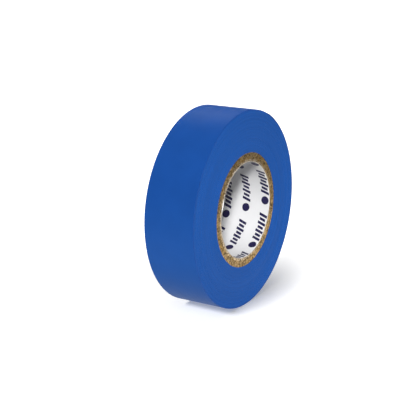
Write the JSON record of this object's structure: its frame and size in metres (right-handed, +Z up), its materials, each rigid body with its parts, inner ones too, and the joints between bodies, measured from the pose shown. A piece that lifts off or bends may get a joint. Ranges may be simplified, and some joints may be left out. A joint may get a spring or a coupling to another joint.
{
  "type": "electrical tape roll",
  "caption": "Roll of blue vinyl electrical tape wound on a laminated board core, with a free end that peels, bends and travels round the roll.",
  "frame": {"origin": "centre of the core's bore, halfway across the tape's width", "axes": "+Y along the roll's axis, towards its back face; +Z up, with the roll standing on its tread; +X to the side where the free end lies"},
  "size_m": [0.0697, 0.019, 0.0695],
  "materials": {
    "vinyl_film": "satin",
    "adhesive": "gloss",
    "core_board": "matte",
    "liner_paper": "satin"
  },
  "bodies": {
    "roll": {"core_liner": "liner_paper", "core_ply_1": "core_board", "core_ply_2": "core_board", "core_ply_3": "core_board", "core_ply_4": "core_board", "core_ply_5": "core_board", "tape_windings": "vinyl_film", "outer_adhesive": "adhesive", "outer_film": "vinyl_film"},
    "tail_1": {"tail_film_1": "vinyl_film", "tail_adhesive_1": "adhesive"},
    "tail_2": {"tail_film_2": "vinyl_film", "tail_adhesive_2": "adhesive"},
    "tail_3": {"tail_film_3": "vinyl_film", "tail_adhesive_3": "adhesive"},
    "tail_4": {"tail_film_4": "vinyl_film", "tail_adhesive_4": "adhesive"},
    "tail_5": {"tail_film_5": "vinyl_film", "tail_adhesive_5": "adhesive"},
    "tail_6": {"tail_film_6": "vinyl_film", "tail_adhesive_6": "adhesive"},
    "tail_7": {"tail_film_7": "vinyl_film", "tail_adhesive_7": "adhesive"},
    "tail_8": {"tail_film_8": "vinyl_film", "tail_adhesive_8": "adhesive"},
    "tail_9": {"tail_film_9": "vinyl_film", "tail_adhesive_9": "adhesive"},
    "tail_10": {"tail_film_10": "vinyl_film", "tail_adhesive_10": "adhesive"}
  },
  "joints": [
    {"name": "unwind", "type": "hinge", "parent": "roll", "child": "tail_1", "pos_m": [0, 0, 0], "axis": [0, -1, 0], "continuous": true},
    {"name": "peel", "type": "hinge", "parent": "tail_1", "child": "tail_2", "pos_m": [0.02008, 0, 0.02867], "axis": [0, -1, 0], "range_deg": [0, 45]},
    {"name": "peel_bend_3", "type": "hinge", "parent": "tail_2", "child": "tail_3", "pos_m": [0.02475, 0, 0.02475], "axis": [0, -1, 0], "range_deg": [0, 36]},
    {"name": "peel_bend_4", "type": "hinge", "parent": "tail_3", "child": "tail_4", "pos_m": [0.02867, 0, 0.02008], "axis": [0, -1, 0], "range_deg": [0, 24]},
    {"name": "peel_bend_5", "type": "hinge", "parent": "tail_4", "child": "tail_5", "pos_m": [0.03172, 0, 0.01479], "axis": [0, -1, 0], "range_deg": [0, 10]},
    {"name": "peel_bend_6", "type": "hinge", "parent": "tail_5", "child": "tail_6", "pos_m": [0.03381, 0, 0.00906], "axis": [0, -1, 0], "range_deg": [0, 10]},
    {"name": "peel_bend_7", "type": "hinge", "parent": "tail_6", "child": "tail_7", "pos_m": [0.03487, 0, 0.00305], "axis": [0, -1, 0], "range_deg": [0, 10]},
    {"name": "peel_bend_8", "type": "hinge", "parent": "tail_7", "child": "tail_8", "pos_m": [0.03487, 0, -0.00305], "axis": [0, -1, 0], "range_deg": [0, 10]},
    {"name": "peel_bend_9", "type": "hinge", "parent": "tail_8", "child": "tail_9", "pos_m": [0.03381, 0, -0.00906], "axis": [0, -1, 0], "range_deg": [0, 10]},
    {"name": "tip_lift", "type": "hinge", "parent": "tail_9", "child": "tail_10", "pos_m": [0.03172, 0, -0.01479], "axis": [0, -1, 0], "range_deg": [0, 75]}
  ],
  "couplings": [
    {"joint": "peel_bend_3", "follows": "peel", "ratio": 0.8},
    {"joint": "peel_bend_4", "follows": "peel", "ratio": 0.53333},
    {"joint": "peel_bend_5", "follows": "peel", "ratio": 0.22222},
    {"joint": "peel_bend_6", "follows": "peel", "ratio": 0.22222},
    {"joint": "peel_bend_7", "follows": "peel", "ratio": 0.22222},
    {"joint": "peel_bend_8", "follows": "peel", "ratio": 0.22222},
    {"joint": "peel_bend_9", "follows": "peel", "ratio": 0.22222}
  ]
}
